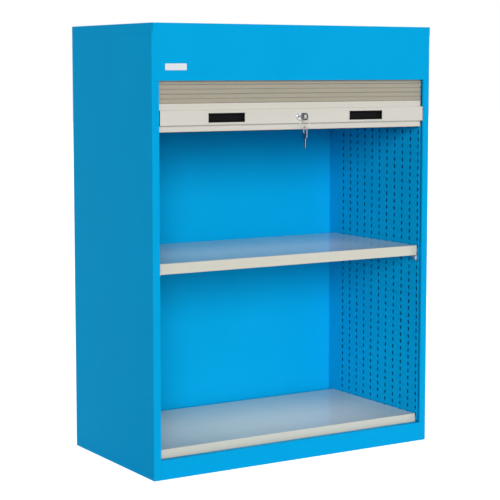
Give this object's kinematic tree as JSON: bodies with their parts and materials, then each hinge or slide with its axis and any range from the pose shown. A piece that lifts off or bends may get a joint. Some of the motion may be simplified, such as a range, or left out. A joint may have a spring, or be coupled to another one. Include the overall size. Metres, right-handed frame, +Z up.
{
  "type": "roll front tool cabinet",
  "caption": "Steel tool cabinet with a slatted shutter that winds into its header, a keyed bottom rail, two shelves and slotted side linings.",
  "frame": {"origin": "centre of the cabinet's footprint on the floor, on the foot of the middle runner", "axes": "+Z up, the open front faces -Y, +X to the right of someone who faces it"},
  "size_m": [1.088, 0.6313, 1.45],
  "materials": {
    "blue_enamel": "light blue powder coat, satin",
    "cream_enamel": "light grey beige powder coat, semi-gloss",
    "beige_slat": "beige lacquered aluminium slats",
    "cream_rail": "cream lacquered aluminium rail",
    "zinc_steel": "zinc plated steel",
    "black_plastic": "black moulded plastic",
    "dark_nylon": "dark nylon",
    "black_rubber": "black rubber",
    "white_plate": "blank white label plate",
    "lock_chrome": "polished chrome",
    "key_nickel": "nickel plated"
  },
  "bodies": {
    "cabinet": {"side_panel_right": "blue_enamel", "side_panel_left": "blue_enamel", "top_cap": "blue_enamel", "header_fascia": "blue_enamel", "back_panel": "blue_enamel", "front_plinth": "blue_enamel", "base_runners": "blue_enamel", "base_rear_rail": "blue_enamel", "base_middle_runner": "blue_enamel", "perforated_panel_right": "blue_enamel", "perforated_panel_left": "blue_enamel", "guide_track_right": "blue_enamel", "guide_track_left": "blue_enamel", "keeper_plates": "zinc_steel", "open_stops": "black_rubber", "base_shelf": "cream_enamel", "middle_shelf": "cream_enamel", "shelf_stiffener": "cream_enamel", "shelf_clips": "zinc_steel", "header_floor": "blue_enamel", "roller_bracket_right": "zinc_steel", "roller_bracket_left": "zinc_steel", "bracket_nuts": "zinc_steel", "roller_axle": "zinc_steel", "torsion_spring": "zinc_steel", "spring_anchors": "zinc_steel", "label_plate": "white_plate", "back_rivets": "zinc_steel"},
    "roller": {"roller_tube": "zinc_steel", "roller_end_plugs": "dark_nylon", "wound_slats": "beige_slat"},
    "shutter": {"lead_slats": "beige_slat", "slat_sliders": "dark_nylon", "bottom_rail": "cream_rail", "rail_end_caps": "black_plastic", "rail_seal": "black_rubber", "pull_cup_left": "black_plastic", "pull_cup_right": "black_plastic", "pull_bezel_left": "cream_rail", "pull_bezel_right": "cream_rail", "lock_housing": "lock_chrome", "lock_nut": "zinc_steel"},
    "curtain_1": {"curtain_band_1": "beige_slat"},
    "curtain_2": {"curtain_band_2": "beige_slat"},
    "curtain_3": {"curtain_band_3": "beige_slat"},
    "curtain_4": {"curtain_band_4": "beige_slat"},
    "curtain_5": {"curtain_band_5": "beige_slat"},
    "curtain_6": {"curtain_band_6": "beige_slat"},
    "lock_core": {"lock_barrel": "lock_chrome", "lock_cam": "zinc_steel", "door_key": "key_nickel"},
    "bar_right": {"lock_bar_right": "zinc_steel"},
    "bar_left": {"lock_bar_left": "zinc_steel"},
    "ring": {"key_ring": "key_nickel"},
    "spare": {"spare_key": "key_nickel"}
  },
  "joints": [
    {"name": "shutter_slide", "type": "slide", "parent": "cabinet", "child": "shutter", "axis": [0, 0, -1], "range_m": [0, 1.043]},
    {"name": "curtain_1_slide", "type": "slide", "parent": "cabinet", "child": "curtain_1", "axis": [0, 0, -1], "range_m": [0, 0.89301]},
    {"name": "curtain_2_slide", "type": "slide", "parent": "cabinet", "child": "curtain_2", "axis": [0, 0, -1], "range_m": [0, 0.74301]},
    {"name": "curtain_3_slide", "type": "slide", "parent": "cabinet", "child": "curtain_3", "axis": [0, 0, -1], "range_m": [0, 0.59301]},
    {"name": "curtain_4_slide", "type": "slide", "parent": "cabinet", "child": "curtain_4", "axis": [0, 0, -1], "range_m": [0, 0.44301]},
    {"name": "curtain_5_slide", "type": "slide", "parent": "cabinet", "child": "curtain_5", "axis": [0, 0, -1], "range_m": [0, 0.29301]},
    {"name": "curtain_6_slide", "type": "slide", "parent": "cabinet", "child": "curtain_6", "axis": [0, 0, -1], "range_m": [0, 0.14301]},
    {"name": "roller_turn", "type": "hinge", "parent": "cabinet", "child": "roller", "pos_m": [0, -0.14, 1.36], "axis": [1, 0, 0], "range_deg": [0, 1320]},
    {"name": "bar_right_slide", "type": "slide", "parent": "shutter", "child": "bar_right", "axis": [1, 0, 0], "range_m": [0, 0.01414]},
    {"name": "bar_left_slide", "type": "slide", "parent": "shutter", "child": "bar_left", "axis": [-1, 0, 0], "range_m": [0, 0.01415]},
    {"name": "key_turn", "type": "hinge", "parent": "shutter", "child": "lock_core", "pos_m": [0, -0.295, 1.152], "axis": [0, 1, 0], "range_deg": [0, 90]},
    {"name": "ring_hang", "type": "hinge", "parent": "lock_core", "child": "ring", "pos_m": [0, -0.326, 1.1425], "axis": [0, 1, 0], "range_deg": [-90, 0]},
    {"name": "spare_key_swing", "type": "hinge", "parent": "ring", "child": "spare", "pos_m": [0, -0.326, 1.1105], "axis": [1, 0, 0], "range_deg": [-60, 30]}
  ],
  "couplings": [
    {"joint": "curtain_1_slide", "follows": "shutter_slide", "ratio": 0.85618},
    {"joint": "curtain_2_slide", "follows": "shutter_slide", "ratio": 0.71237},
    {"joint": "curtain_3_slide", "follows": "shutter_slide", "ratio": 0.56855},
    {"joint": "curtain_4_slide", "follows": "shutter_slide", "ratio": 0.42474},
    {"joint": "curtain_5_slide", "follows": "shutter_slide", "ratio": 0.28092},
    {"joint": "curtain_6_slide", "follows": "shutter_slide", "ratio": 0.1371},
    {"joint": "roller_turn", "follows": "shutter_slide", "rad_per_m": 22},
    {"joint": "bar_left_slide", "follows": "bar_right_slide", "ratio": 1},
    {"joint": "key_turn", "follows": "bar_right_slide", "rad_per_m": 111.07},
    {"joint": "ring_hang", "follows": "bar_right_slide", "rad_per_m": -111.07}
  ]
}
